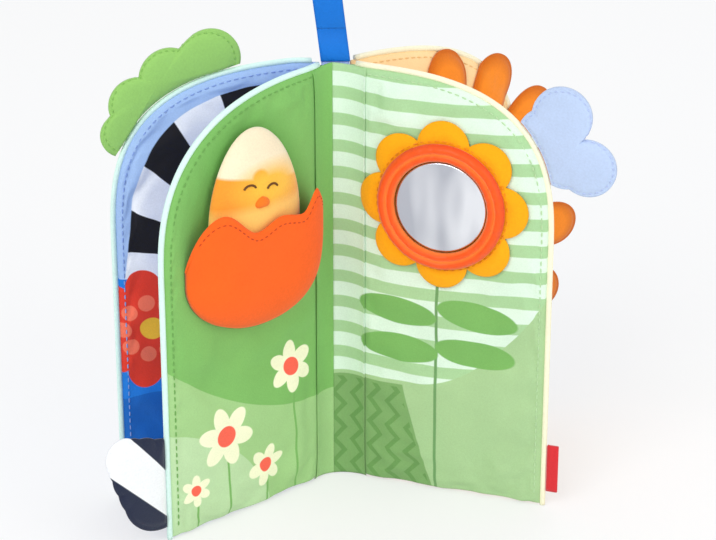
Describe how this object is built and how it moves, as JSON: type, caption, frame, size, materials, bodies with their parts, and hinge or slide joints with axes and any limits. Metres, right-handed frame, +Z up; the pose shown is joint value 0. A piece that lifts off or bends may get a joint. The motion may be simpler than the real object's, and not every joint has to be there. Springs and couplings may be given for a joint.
{
  "type": "crinkle cloth book",
  "caption": "Soft cloth activity book for a baby: padded arched leaves fan out from a bound spine, with a flower mirror, a pocket holding a pull-out chick, flaps and a hanging strap.",
  "frame": {"origin": "on the floor, midway between the two hinge lines of the spine binding", "axes": "+Z up along the spine, -Y out of the open front spread, +X to the right of a viewer in front"},
  "size_m": [0.2409, 0.1709, 0.2743],
  "materials": {
    "grass_green_cloth": "printed woven polyester with a fine weave",
    "pale_green_cloth": "printed woven polyester with pale stripes",
    "sky_blue_cloth": "printed woven polyester",
    "periwinkle_cloth": "printed woven polyester",
    "peach_cloth": "printed woven polyester",
    "lavender_cloth": "soft padded jersey",
    "leaf_green_cloth": "soft padded jersey",
    "white_cloth": "soft padded jersey with dark bands",
    "mint_bias_tape": "folded bias tape over cord",
    "cream_bias_tape": "folded bias tape over cord",
    "blue_webbing": "woven ribbon",
    "red_ribbon": "woven ribbon, folded and stitched",
    "marigold_felt": "brushed polyester, padded",
    "orange_red_satin": "smooth satin over a stuffed ring",
    "orange_felt": "brushed polyester, padded",
    "amber_felt": "brushed polyester, padded",
    "cream_plush": "short soft plush",
    "crinkle_film": "thin crackling film",
    "polyester_wadding": "light fibre wadding",
    "soft_mirror": "flexible silvered plastic sheet"
  },
  "bodies": {
    "spine": {"spine_binding": "periwinkle_cloth"},
    "strap": {"hanging_strap": "blue_webbing"},
    "front_left_leaf": {"front_left_front_cloth": "grass_green_cloth", "front_left_back_cloth": "sky_blue_cloth", "front_left_crinkle_film": "crinkle_film", "front_left_wadding": "polyester_wadding", "front_left_piping": "mint_bias_tape", "petal_pocket": "orange_felt"},
    "front_right_leaf": {"front_right_front_cloth": "pale_green_cloth", "front_right_back_cloth": "peach_cloth", "front_right_crinkle_film": "crinkle_film", "front_right_wadding": "polyester_wadding", "front_right_piping": "cream_bias_tape", "sunflower_petals": "marigold_felt", "mirror_ring": "orange_red_satin", "mirror_disc": "soft_mirror", "cloud_flap": "lavender_cloth", "side_tag": "red_ribbon"},
    "rear_left_leaf": {"rear_left_front_cloth": "sky_blue_cloth", "rear_left_back_cloth": "periwinkle_cloth", "rear_left_crinkle_film": "crinkle_film", "rear_left_wadding": "polyester_wadding", "rear_left_piping": "mint_bias_tape", "bush_flap": "leaf_green_cloth"},
    "rear_right_leaf": {"rear_right_front_cloth": "peach_cloth", "rear_right_back_cloth": "periwinkle_cloth", "rear_right_crinkle_film": "crinkle_film", "rear_right_wadding": "polyester_wadding", "rear_right_piping": "cream_bias_tape", "sun_petal_1": "amber_felt", "sun_petal_2": "amber_felt", "sun_petal_3": "amber_felt", "sun_petal_4": "amber_felt", "sun_petal_5": "amber_felt", "sun_petal_6": "amber_felt", "sun_petal_7": "amber_felt", "sun_petal_8": "amber_felt"},
    "chick": {"chick_toy": "cream_plush"},
    "tab": {"striped_tab": "white_cloth"}
  },
  "joints": [
    {"name": "front_left_turn", "type": "hinge", "parent": "spine", "child": "front_left_leaf", "pos_m": [-0.005, 0, 0.11], "axis": [0, 0, 1], "range_deg": [-30, 25]},
    {"name": "rear_left_turn", "type": "hinge", "parent": "front_left_leaf", "child": "rear_left_leaf", "pos_m": [-0.005, 0, 0.11], "axis": [0, 0, 1], "range_deg": [-45, 22]},
    {"name": "front_right_turn", "type": "hinge", "parent": "spine", "child": "front_right_leaf", "pos_m": [0.005, 0, 0.11], "axis": [0, 0, -1], "range_deg": [-30, 36]},
    {"name": "rear_right_turn", "type": "hinge", "parent": "front_right_leaf", "child": "rear_right_leaf", "pos_m": [0.005, 0, 0.11], "axis": [0, 0, -1], "range_deg": [-20, 33]},
    {"name": "chick_pull", "type": "slide", "parent": "front_left_leaf", "child": "chick", "axis": [0, 0, 1], "range_m": [0, 0.04]},
    {"name": "tab_flip", "type": "hinge", "parent": "front_left_leaf", "child": "tab", "pos_m": [-0.08381, -0.07142, 0.03], "axis": [0, 0, 1], "range_deg": [-45, 45], "stiffness_Nm_per_rad": 0.004},
    {"name": "strap_flip", "type": "hinge", "parent": "spine", "child": "strap", "pos_m": [0, 0, 0.2196], "axis": [1, 0, 0], "range_deg": [-40, 40], "stiffness_Nm_per_rad": 0.006}
  ]
}
